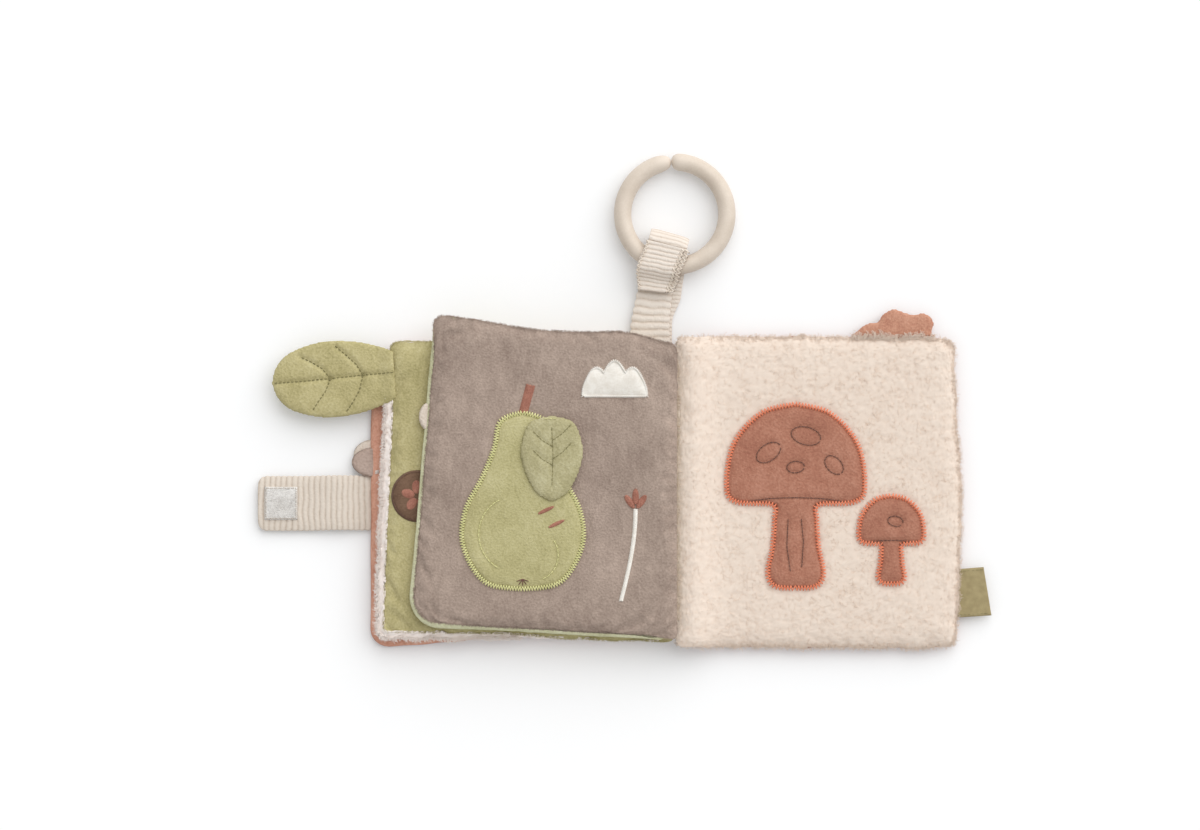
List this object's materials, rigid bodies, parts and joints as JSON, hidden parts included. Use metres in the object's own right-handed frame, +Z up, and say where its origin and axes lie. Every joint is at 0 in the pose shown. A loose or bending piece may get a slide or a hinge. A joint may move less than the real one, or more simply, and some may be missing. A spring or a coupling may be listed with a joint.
{
  "type": "crinkle cloth book",
  "caption": "Soft cloth book lying open, with padded crinkle pages, a lift flap, fabric tabs, a closing strap and a carrying ring on a corduroy strap.",
  "frame": {"origin": "middle of the spine's underside, at the gutter line between page 2 and the back cover, on the table", "axes": "+X from the front cover to the back cover, +Y up the pages towards the carrying ring, +Z up off the table"},
  "size_m": [0.3522, 0.2376, 0.0235],
  "materials": {
    "rust_velour": "short-pile velour",
    "green_velour": "short-pile velour",
    "taupe_velour": "short-pile velour",
    "cream_sherpa": "curly sherpa pile",
    "cream_corduroy": "wide-wale corduroy",
    "cream_thread": "satin stitch",
    "rust_thread": "satin stitch",
    "brown_badge": "felt",
    "olive_label": "woven ribbon",
    "white_hook_tape": "hook and loop tape",
    "wadding": "polyester wadding",
    "crinkle_film": "thin crackling film",
    "beige_plastic": "satin moulded plastic"
  },
  "bodies": {
    "front_cover": {"front_cover_lining": "rust_velour", "front_cover_outer": "rust_velour", "front_cover_wadding": "wadding", "front_cover_crinkle_film": "crinkle_film", "spine_strip": "rust_velour", "binding_web": "rust_velour"},
    "leaf_1": {"leaf_1_face": "green_velour", "leaf_1_reverse": "cream_sherpa", "leaf_1_wadding": "wadding", "leaf_1_crinkle_film": "crinkle_film", "leaf_1_hem": "green_velour", "badge": "brown_badge"},
    "leaf_2": {"leaf_2_face": "taupe_velour", "leaf_2_reverse": "green_velour", "leaf_2_wadding": "wadding", "leaf_2_crinkle_film": "crinkle_film", "leaf_2_hem": "taupe_velour", "pear_applique": "green_velour", "pear_stem": "rust_thread", "cloud_embroidery": "cream_thread", "sprig_embroidery": "cream_thread", "small_tab": "cream_corduroy"},
    "lift_flap": {"lift_flap": "green_velour"},
    "back_cover": {"back_cover_lining": "cream_sherpa", "back_cover_outer": "rust_velour", "back_cover_wadding": "wadding", "back_cover_crinkle_film": "crinkle_film", "back_cover_hem": "cream_sherpa", "large_mushroom_applique": "rust_velour", "small_mushroom_applique": "rust_velour", "closing_loop_patch": "white_hook_tape"},
    "leaf_tab": {"leaf_tab": "green_velour"},
    "round_tab": {"round_tab_face": "taupe_velour", "round_tab_backing": "cream_corduroy"},
    "scallop_tab": {"scallop_tab": "rust_velour"},
    "side_label": {"side_label": "olive_label"},
    "closing_strap_root": {"closing_strap_root": "cream_corduroy"},
    "closing_strap_tip": {"closing_strap_tip": "cream_corduroy", "closing_hook_patch": "white_hook_tape"},
    "hanging_strap": {"hanging_strap": "cream_corduroy", "hanging_strap_base": "cream_corduroy", "hanging_loop_tape": "white_hook_tape"},
    "strap_flap": {"hanging_strap_flap": "cream_corduroy", "hanging_hook_tape": "white_hook_tape"},
    "carrying_ring": {"carrying_ring": "beige_plastic"}
  },
  "joints": [
    {"name": "leaf_1_turn", "type": "hinge", "parent": "front_cover", "child": "leaf_1", "pos_m": [0, 0, 0.01685], "axis": [0, -1, 0], "range_deg": [-172, 0]},
    {"name": "leaf_2_turn", "type": "hinge", "parent": "leaf_1", "child": "leaf_2", "pos_m": [0, 0, 0.01685], "axis": [0, 1, 0], "range_deg": [0, 172]},
    {"name": "back_cover_turn", "type": "hinge", "parent": "front_cover", "child": "back_cover", "pos_m": [0, 0, 0.01685], "axis": [0, -1, 0], "range_deg": [0, 180]},
    {"name": "lift_flap_turn", "type": "hinge", "parent": "leaf_2", "child": "lift_flap", "pos_m": [-0.06, 0.037, 0.0235], "axis": [-1, 0, 0], "range_deg": [0, 175]},
    {"name": "leaf_tab_bend", "type": "hinge", "parent": "leaf_1", "child": "leaf_tab", "pos_m": [-0.14013, 0.056, 0.011], "axis": [0, 1, 0], "range_deg": [0, 90]},
    {"name": "round_tab_bend", "type": "hinge", "parent": "front_cover", "child": "round_tab", "pos_m": [-0.14588, 0.0167, 0.00364], "axis": [0, 1, 0], "range_deg": [0, 90]},
    {"name": "scallop_tab_bend", "type": "hinge", "parent": "back_cover", "child": "scallop_tab", "pos_m": [0.1047, 0.07491, 0.00515], "axis": [1, 0, 0], "range_deg": [0, 80]},
    {"name": "side_label_bend", "type": "hinge", "parent": "back_cover", "child": "side_label", "pos_m": [0.13518, -0.0489, 0.00405], "axis": [0, -1, 0], "range_deg": [0, 80]},
    {"name": "closing_strap_fold", "type": "hinge", "parent": "front_cover", "child": "closing_strap_root", "pos_m": [-0.14582, -0.0055, 0.0018], "axis": [0, 1, 0], "range_deg": [0, 100]},
    {"name": "closing_strap_tip_fold", "type": "hinge", "parent": "closing_strap_root", "child": "closing_strap_tip", "pos_m": [-0.18004, -0.0055, 0.0018], "axis": [0, 1, 0], "range_deg": [0, 80]},
    {"name": "hanging_strap_swing", "type": "hinge", "parent": "front_cover", "child": "hanging_strap", "pos_m": [-0.0118, 0.0759, 0.0035], "axis": [-1, 0, 0], "range_deg": [-80, 0]},
    {"name": "strap_flap_open", "type": "hinge", "parent": "hanging_strap", "child": "strap_flap", "pos_m": [-0.00645, 0.11936, 0.0122], "axis": [-0.9701, 0.2427, 0], "range_deg": [0, 120]},
    {"name": "ring_spin", "type": "hinge", "parent": "hanging_strap", "child": "carrying_ring", "pos_m": [-0.001, 0.1338, 0.00515], "axis": [0, 0.0378, 0.9993], "continuous": true}
  ]
}
